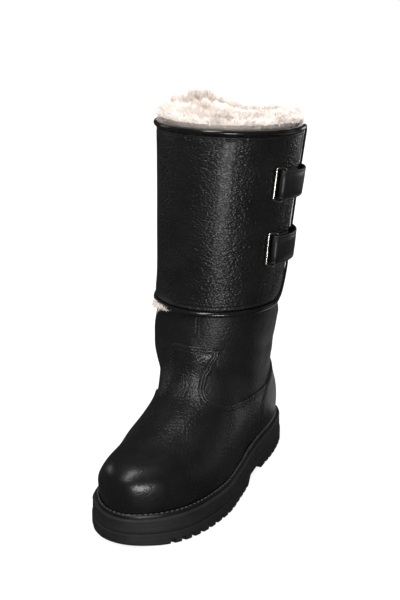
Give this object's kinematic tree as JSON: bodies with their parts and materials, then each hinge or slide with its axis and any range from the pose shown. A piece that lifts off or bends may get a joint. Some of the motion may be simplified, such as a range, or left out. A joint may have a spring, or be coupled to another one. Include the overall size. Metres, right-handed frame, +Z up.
{
  "type": "leather boot",
  "caption": "Left mid-calf leather boot with shearling lining, piped wrap cuff held by ringed straps, fur at the collar and a lugged rubber sole.",
  "frame": {"origin": "floor level, under the middle of the boot's bounding box", "axes": "+Z up, -Y towards the toe, +X to the outer side of the left foot, where the straps close the cuff"},
  "size_m": [0.1386, 0.2924, 0.3444],
  "materials": {
    "sole_rubber": "matt, moulded",
    "welt_leather": "satin, stitched",
    "footbed": "wool pile",
    "upper_leather": "pebbled, waxed",
    "vamp_leather": "pebbled, waxed",
    "counter_leather": "pebbled, waxed",
    "cuff_leather": "pebbled, waxed",
    "piping_leather": "smooth, glossy",
    "strap_leather": "fine grain, satin",
    "ring_steel": "polished nickel plate",
    "shearling": "long wool pile"
  },
  "bodies": {
    "root": {"outsole": "sole_rubber", "welt": "welt_leather", "insole": "footbed", "upper": "upper_leather", "vamp": "vamp_leather", "heel_counter": "counter_leather", "cuff": "cuff_leather", "cuff_piping": "piping_leather", "strap_upper": "strap_leather", "strap_lower": "strap_leather", "ring_upper": "ring_steel", "ring_lower": "ring_steel", "fur_collar": "shearling"}
  },
  "joints": []
}
